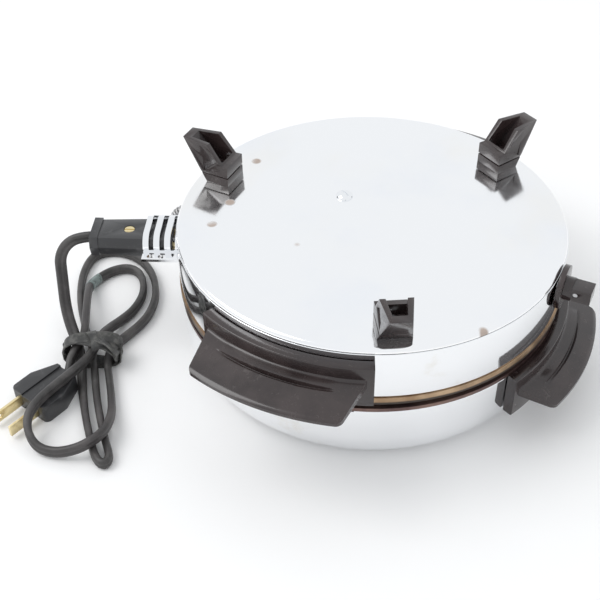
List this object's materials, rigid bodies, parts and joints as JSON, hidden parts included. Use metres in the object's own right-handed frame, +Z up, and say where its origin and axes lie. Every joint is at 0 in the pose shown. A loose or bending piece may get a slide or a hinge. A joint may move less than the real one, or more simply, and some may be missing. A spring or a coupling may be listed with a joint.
{
  "type": "round waffle maker",
  "caption": "Round electric waffle maker stored upside down on its lid, with a hinged heating base on short feet, heat-proof handles, a guarded appliance plug and a tied mains cord.",
  "frame": {"origin": "on the vertical axis of the two round shells, at the table face on which the lid stands", "axes": "+Z up, away from the table (the object stands upside down on its lid, feet upwards); +Y towards the hinge; -Y towards the lid handle and the heat control"},
  "size_m": [0.2856, 0.3008, 0.1022],
  "materials": {
    "chrome": "bright plated steel, lightly stained and speckled",
    "cast_grid": "cast aluminium, browned by baked oil",
    "bakelite": "dark brown thermoset, satin gloss, slightly worn",
    "plug_plastic": "black thermoset, satin gloss",
    "cord_rubber": "dull black flat cord with a groove",
    "tie_strip": "dull dark strip, creased",
    "steel": "plain zinc-coated steel",
    "brass": "worn brass",
    "ceramic": "unglazed steatite, matt",
    "element": "heat-blued steel sheath"
  },
  "bodies": {
    "lid": {"lid_shell": "chrome", "lid_grid": "cast_grid", "lid_element": "element", "lid_insulators": "ceramic", "lid_baffle": "steel", "lid_handle": "bakelite", "lid_handle_screws": "steel", "lid_hinge_bracket": "steel", "lid_hinge_rivets": "steel", "hinge_pin": "steel", "lid_lead_conduit": "steel", "cord_lead": "cord_rubber", "cord_hank": "cord_rubber", "cord_tie": "tie_strip", "wall_plug": "plug_plastic", "wall_plug_blades": "brass"},
    "base": {"base_wall": "chrome", "base_grid": "cast_grid", "base_element": "element", "base_insulators": "ceramic", "base_baffle": "steel", "bottom_plate": "chrome", "plate_screw": "chrome", "foot_rear": "bakelite", "foot_left": "bakelite", "foot_right": "bakelite", "foot_screws": "chrome", "side_handle_left": "bakelite", "side_handle_left_screws": "steel", "side_handle_right": "bakelite", "side_handle_right_screws": "steel", "base_hinge_bracket": "steel", "base_hinge_rivets": "steel", "plug_guard": "chrome", "terminal_block": "ceramic", "terminal_pins": "brass", "plug_upper_half": "plug_plastic", "plug_lower_half": "plug_plastic", "plug_contacts": "brass", "plug_screw": "brass", "thermostat_body": "ceramic", "thermostat_blades": "steel"},
    "control": {"control_knob": "bakelite", "knob_set_screw": "steel", "control_shaft": "steel"}
  },
  "joints": [
    {"name": "base_swing", "type": "hinge", "parent": "lid", "child": "base", "pos_m": [0, 0.1079, 0.04385], "axis": [-1, 0, 0], "range_deg": [0, 90], "deforming": ["cord_lead", "lid_lead_conduit"]},
    {"name": "heat_control", "type": "hinge", "parent": "base", "child": "control", "pos_m": [0, -0.1, 0.0693], "axis": [0, -1, 0], "range_deg": [0, 120]}
  ]
}
